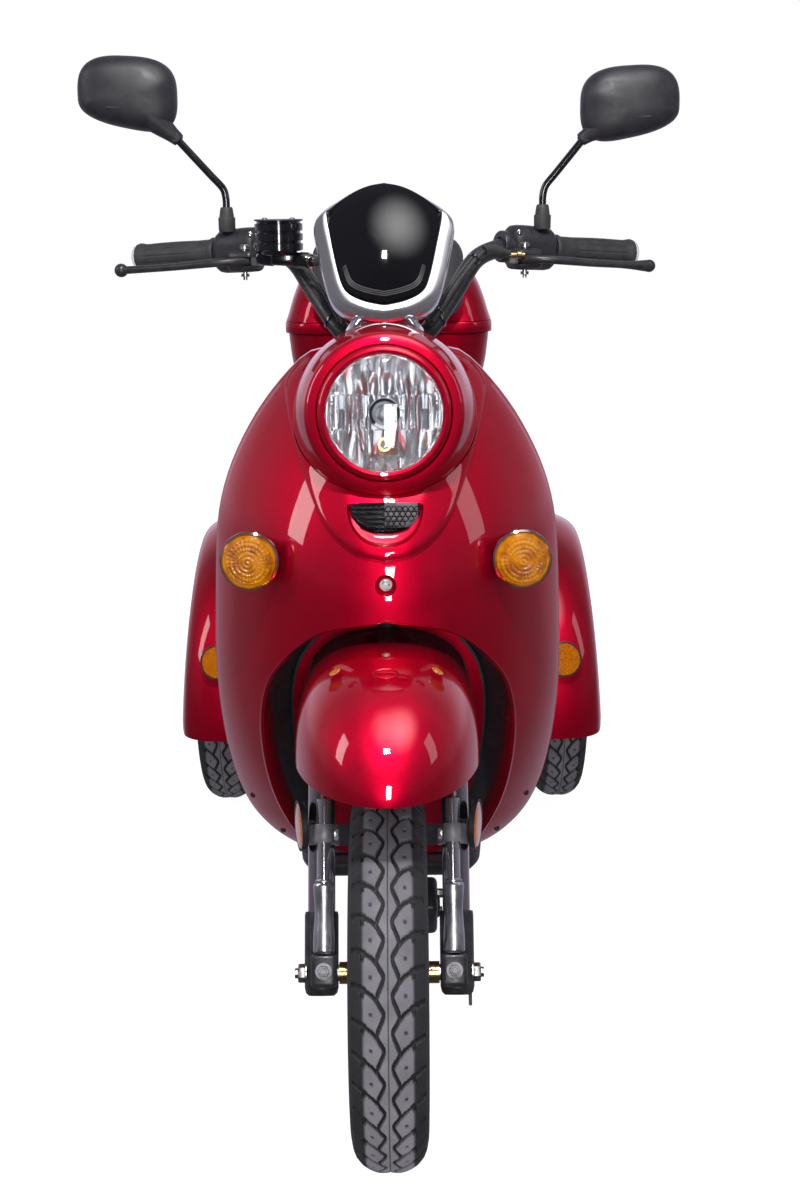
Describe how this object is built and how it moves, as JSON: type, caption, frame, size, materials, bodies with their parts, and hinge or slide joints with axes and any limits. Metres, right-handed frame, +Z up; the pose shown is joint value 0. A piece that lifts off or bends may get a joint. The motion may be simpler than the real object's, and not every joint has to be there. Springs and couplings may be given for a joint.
{
  "type": "mobility scooter",
  "caption": "Step-through mobility scooter: one steered front wheel, painted apron with round headlight, seat, rear fenders, mirrors and a lidded top box.",
  "frame": {"origin": "on the ground, under the middle of the bounding box", "axes": "+Z up, -Y to the front of the scooter, +X to the rider's left"},
  "size_m": [0.735, 1.6466, 1.193],
  "materials": {
    "aluminium": "satin cast aluminium",
    "amber": "amber lens",
    "black_metal": "black powder-coated steel",
    "black_plastic": "fine-grained black plastic",
    "chrome": "bright chrome",
    "clear": "clear lens",
    "gloss_black": "gloss black",
    "red_paint": "metallic dark red lacquer over moulded panels",
    "rubber": "black rubber",
    "seat_vinyl": "dark grey vinyl",
    "tail_red": "red lens"
  },
  "bodies": {
    "chassis": {"apron": "red_paint", "battery_pack": "gloss_black", "box_base": "red_paint", "floor_mat": "rubber", "floor_pan": "black_plastic", "front_indicator_left": "amber", "front_indicator_right": "amber", "headlight_bezel": "red_paint", "headlight_lens": "clear", "headlight_nacelle": "red_paint", "headlight_reflector": "chrome", "leg_shield": "red_paint", "main_frame": "black_metal", "motor_controller": "aluminium", "nose_grille": "gloss_black", "nose_panel": "red_paint", "rear_axle": "black_metal", "rear_body": "red_paint", "rear_fender_left": "red_paint", "rear_fender_right": "red_paint", "rear_rack": "black_metal", "seat_base": "red_paint", "tail_light": "tail_red", "wheel_liner": "black_plastic"},
    "steering": {"brake_hose": "rubber", "cable_bundle": "rubber", "fork_crown": "black_metal", "front_fender": "red_paint", "grip_left": "rubber", "handlebar": "black_metal", "instrument_screen": "gloss_black", "instrument_shell": "chrome", "master_cylinder": "black_plastic", "switch_housing_left": "black_plastic", "switch_housing_right": "black_plastic"},
    "front_suspension": {"brake_caliper": "black_metal", "fork_lower_left": "black_metal", "fork_lower_right": "black_metal", "front_axle": "aluminium"},
    "front_wheel": {"front_rim": "aluminium", "front_tyre": "rubber"},
    "rear_wheel_left": {"rear_rim_left": "aluminium", "rear_tyre_left": "rubber"},
    "rear_wheel_right": {"rear_rim_right": "aluminium", "rear_tyre_right": "rubber"},
    "brake_lever_left": {"brake_lever_left": "black_metal"},
    "brake_lever_right": {"brake_lever_right": "black_metal"},
    "throttle": {"throttle_grip": "rubber"},
    "mirror_arm_left": {"mirror_arm_left": "gloss_black"},
    "mirror_arm_right": {"mirror_arm_right": "gloss_black"},
    "mirror_head_left": {"mirror_head_left": "black_plastic"},
    "mirror_head_right": {"mirror_head_right": "black_plastic"},
    "horn": {"horn_button": "gloss_black"},
    "indicator_slider": {"indicator_switch": "gloss_black"},
    "seat_hinge": {"seat": "seat_vinyl"},
    "lid_hinge": {"backrest_pad": "seat_vinyl", "box_lid": "red_paint"},
    "latch": {"box_latch": "chrome"},
    "key": {"ignition_key": "chrome"}
  },
  "joints": [
    {"name": "steering_turn", "type": "hinge", "parent": "chassis", "child": "steering", "pos_m": [0, -0.44383, 0.50002], "axis": [0, 0.4226, 0.9063], "range_deg": [-30, 30]},
    {"name": "fork_travel", "type": "slide", "parent": "steering", "child": "front_suspension", "axis": [0, 0.4226, 0.9063], "range_m": [0, 0.038], "stiffness_N_per_m": 15000, "springref_m": -0.03},
    {"name": "front_wheel_spin", "type": "hinge", "parent": "front_suspension", "child": "front_wheel", "pos_m": [0, -0.615, 0.208], "axis": [1, 0, 0], "continuous": true},
    {"name": "rear_wheel_left_spin", "type": "hinge", "parent": "chassis", "child": "rear_wheel_left", "pos_m": [0.285, 0.535, 0.208], "axis": [1, 0, 0], "continuous": true},
    {"name": "rear_wheel_right_spin", "type": "hinge", "parent": "chassis", "child": "rear_wheel_right", "pos_m": [-0.285, 0.535, 0.208], "axis": [1, 0, 0], "continuous": true},
    {"name": "brake_lever_left_pull", "type": "hinge", "parent": "steering", "child": "brake_lever_left", "pos_m": [0.172, -0.197, 0.955], "axis": [0, 0, 1], "range_deg": [0, 18], "stiffness_Nm_per_rad": 1.2, "springref_deg": -20.05},
    {"name": "brake_lever_right_pull", "type": "hinge", "parent": "steering", "child": "brake_lever_right", "pos_m": [-0.172, -0.197, 0.955], "axis": [0, 0, -1], "range_deg": [0, 18], "stiffness_Nm_per_rad": 1.2, "springref_deg": -20.05},
    {"name": "throttle_twist", "type": "hinge", "parent": "steering", "child": "throttle", "pos_m": [-0.209, -0.14, 0.965], "axis": [-0.9035, 0.4238, -0.064], "range_deg": [0, 60], "stiffness_Nm_per_rad": 0.3, "springref_deg": -17.19},
    {"name": "mirror_arm_left_swivel", "type": "hinge", "parent": "steering", "child": "mirror_arm_left", "pos_m": [0.196, -0.163, 1], "axis": [0, 0, 1], "range_deg": [-25, 25]},
    {"name": "mirror_arm_right_swivel", "type": "hinge", "parent": "steering", "child": "mirror_arm_right", "pos_m": [-0.196, -0.163, 1], "axis": [0, 0, 1], "range_deg": [-25, 25]},
    {"name": "mirror_head_left_tilt", "type": "hinge", "parent": "mirror_arm_left", "child": "mirror_head_left", "pos_m": [0.247, -0.163, 1.1], "axis": [0, 0, 1], "range_deg": [-12, 12]},
    {"name": "mirror_head_right_tilt", "type": "hinge", "parent": "mirror_arm_right", "child": "mirror_head_right", "pos_m": [-0.256, -0.163, 1.104], "axis": [0, 0, 1], "range_deg": [-12, 12]},
    {"name": "horn_press", "type": "slide", "parent": "steering", "child": "horn", "axis": [0.4229, -0.9062, 0], "range_m": [0, 0.003], "stiffness_N_per_m": 300, "springref_m": -0.003},
    {"name": "indicator_slide", "type": "slide", "parent": "steering", "child": "indicator_slider", "axis": [0.9073, 0.4206, 0], "range_m": [-0.004, 0.004]},
    {"name": "seat_tilt", "type": "hinge", "parent": "chassis", "child": "seat_hinge", "pos_m": [0, 0.11, 0.606], "axis": [1, 0, 0], "range_deg": [0, 75]},
    {"name": "lid_open", "type": "hinge", "parent": "chassis", "child": "lid_hinge", "pos_m": [0, 0.46, 0.816], "axis": [1, 0, 0], "range_deg": [0, 70]},
    {"name": "latch_press", "type": "slide", "parent": "chassis", "child": "latch", "axis": [0, -1, 0], "range_m": [0, 0.004], "stiffness_N_per_m": 400, "springref_m": -0.003},
    {"name": "key_turn", "type": "hinge", "parent": "chassis", "child": "key", "pos_m": [0.07, -0.243, 0.76], "axis": [0, 1, 0], "range_deg": [0, 90]}
  ]
}
